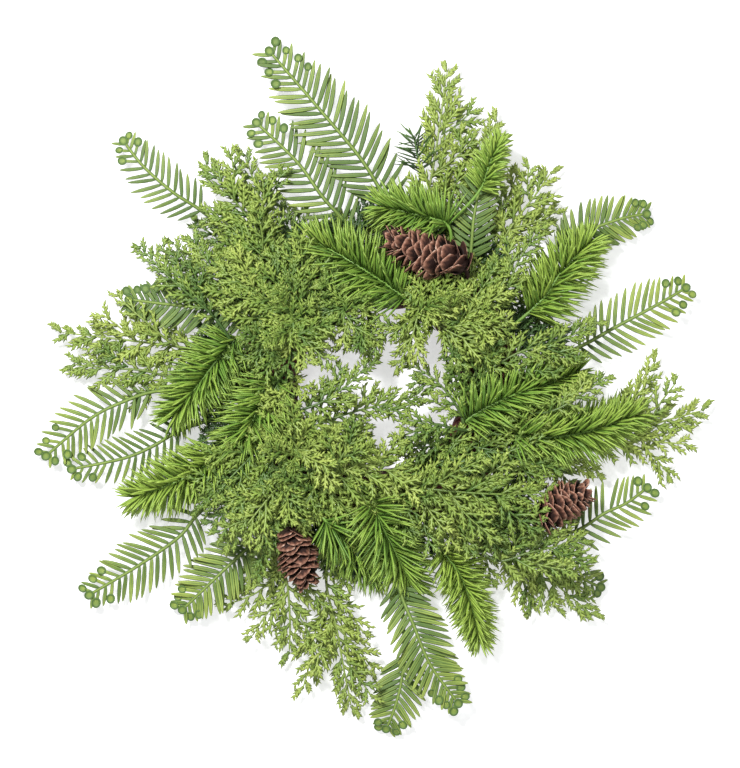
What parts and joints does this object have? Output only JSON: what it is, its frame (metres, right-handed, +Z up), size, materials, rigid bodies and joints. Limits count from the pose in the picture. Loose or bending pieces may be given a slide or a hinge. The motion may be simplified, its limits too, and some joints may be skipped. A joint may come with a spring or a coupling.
{
  "type": "fresh evergreen wreath",
  "caption": "Round evergreen wreath of fern fronds, needle sprays, flat cedar sprays and cones set in a twisted vine ring, lying flat.",
  "frame": {"origin": "on the surface the wreath lies on, under the middle of the whole wreath's box", "axes": "+Z up, out of the wreath's face; +Y towards the top of the wreath as it is hung; +X to the right seen from above"},
  "size_m": [0.4092, 0.424, 0.0537],
  "materials": {
    "vine": "dark red-brown bark",
    "frond": "satin fern leaf, paler at its tips",
    "needles": "satin conifer needles, yellow-green tips",
    "cedar": "satin scale leaves, yellow-green",
    "cone": "dry woody cone scales with paler edges"
  },
  "bodies": {
    "root": {"cedar_bottom": "cedar", "cedar_bottom_left": "cedar", "cedar_left_end": "cedar", "cedar_left_inner": "cedar", "cedar_left_lower": "cedar", "cedar_left_upper": "cedar", "cedar_lower_right": "cedar", "cedar_over_bottom": "cedar", "cedar_over_bottom_right": "cedar", "cedar_over_left": "cedar", "cedar_over_right": "cedar", "cedar_over_right_cone": "cedar", "cedar_over_right_low": "cedar", "cedar_over_upper_left": "cedar", "cedar_right_end": "cedar", "cedar_right_middle": "cedar", "cedar_top": "cedar", "cedar_top_left": "cedar", "cedar_top_right": "cedar", "cedar_upper_left": "cedar", "cedar_upper_right": "cedar", "cone_lower_left": "cone", "cone_right": "cone", "cone_top": "cone", "frond_bottom": "frond", "frond_bottom_left": "frond", "frond_bottom_short": "frond", "frond_far_left": "frond", "frond_left_end": "frond", "frond_left_high": "frond", "frond_left_low": "frond", "frond_lower_left": "frond", "frond_right": "frond", "frond_right_hidden": "frond", "frond_right_low": "frond", "frond_top_left": "frond", "frond_top_long": "frond", "frond_top_right": "frond", "frond_upper_right": "frond", "needles_bottom": "needles", "needles_bottom_left": "needles", "needles_bottom_right": "needles", "needles_left": "needles", "needles_left_inner": "needles", "needles_lower_left": "needles", "needles_over_top_cone": "needles", "needles_right": "needles", "needles_right_low": "needles", "needles_top": "needles", "needles_upper_left": "needles", "needles_upper_right": "needles", "pine_tuft": "needles", "sprig_left": "cedar", "sprig_long": "cedar", "sprig_low": "cedar", "sprig_low_right": "cedar", "sprig_right": "cedar", "sprig_top": "cedar", "vine_ring": "vine"}
  },
  "joints": []
}
